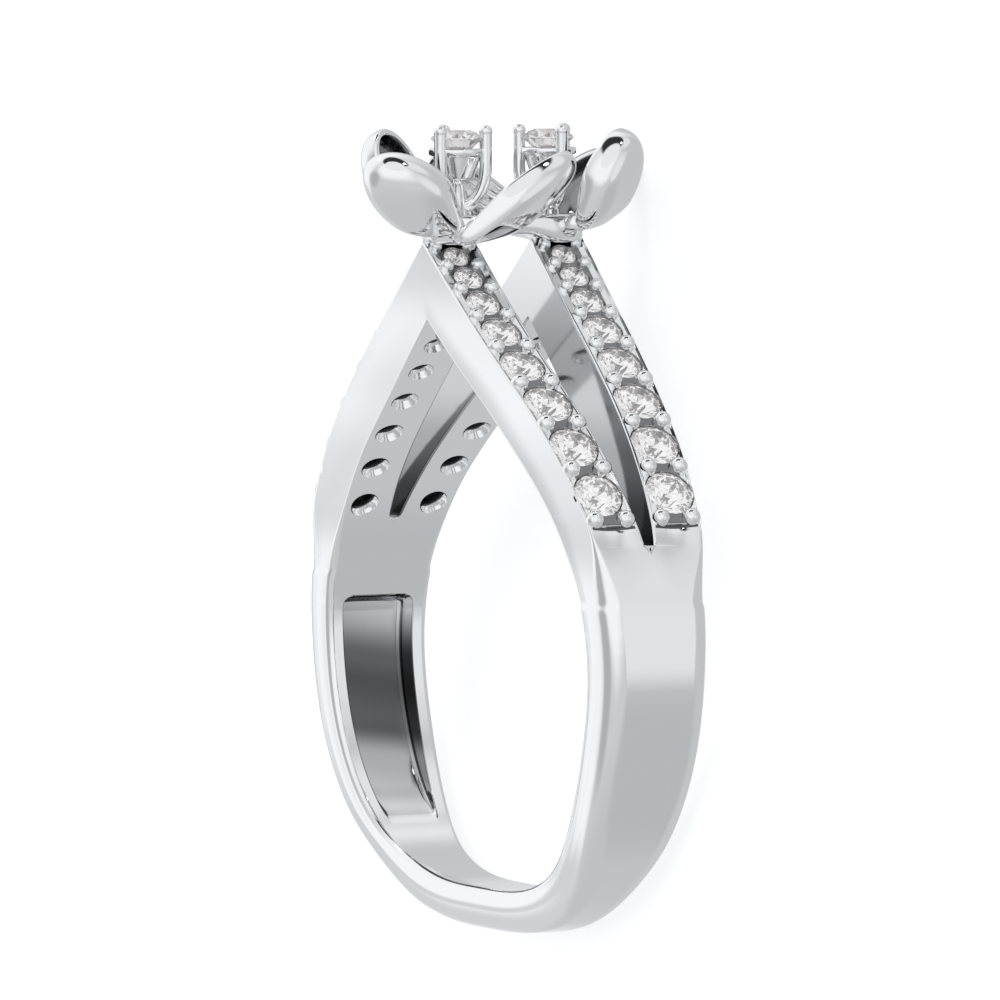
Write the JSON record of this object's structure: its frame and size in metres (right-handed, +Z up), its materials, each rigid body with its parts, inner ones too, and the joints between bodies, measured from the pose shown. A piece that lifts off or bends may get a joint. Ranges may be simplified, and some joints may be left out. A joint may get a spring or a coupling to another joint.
{
  "type": "silver ring",
  "caption": "Silver ring whose split shoulders carry rows of small stones up to two claw-set stones among cupped petals.",
  "frame": {"origin": "on the surface that the ring lies on, under the middle of its bounding box", "axes": "+Y from the shank's bottom to the head, +Z up from the surface, along the finger hole but for the tilt at which the ring lies"},
  "size_m": [0.021, 0.0254, 0.0106],
  "materials": {
    "polished_silver": "highly polished, rhodium-bright",
    "clear_stone": "faceted, colourless"
  },
  "bodies": {
    "root": {"ring_metal": "polished_silver", "claw_stone_back": "clear_stone", "claw_stone_front": "clear_stone", "pave_stone_back_far_1": "clear_stone", "pave_stone_back_far_2": "clear_stone", "pave_stone_back_far_3": "clear_stone", "pave_stone_back_far_4": "clear_stone", "pave_stone_back_far_5": "clear_stone", "pave_stone_back_far_6": "clear_stone", "pave_stone_back_far_7": "clear_stone", "pave_stone_back_far_8": "clear_stone", "pave_stone_back_near_1": "clear_stone", "pave_stone_back_near_2": "clear_stone", "pave_stone_back_near_3": "clear_stone", "pave_stone_back_near_4": "clear_stone", "pave_stone_back_near_5": "clear_stone", "pave_stone_back_near_6": "clear_stone", "pave_stone_back_near_7": "clear_stone", "pave_stone_back_near_8": "clear_stone", "pave_stone_front_far_1": "clear_stone", "pave_stone_front_far_2": "clear_stone", "pave_stone_front_far_3": "clear_stone", "pave_stone_front_far_4": "clear_stone", "pave_stone_front_far_5": "clear_stone", "pave_stone_front_far_6": "clear_stone", "pave_stone_front_far_7": "clear_stone", "pave_stone_front_far_8": "clear_stone", "pave_stone_front_near_1": "clear_stone", "pave_stone_front_near_2": "clear_stone", "pave_stone_front_near_3": "clear_stone", "pave_stone_front_near_4": "clear_stone", "pave_stone_front_near_5": "clear_stone", "pave_stone_front_near_6": "clear_stone", "pave_stone_front_near_7": "clear_stone", "pave_stone_front_near_8": "clear_stone"}
  },
  "joints": []
}
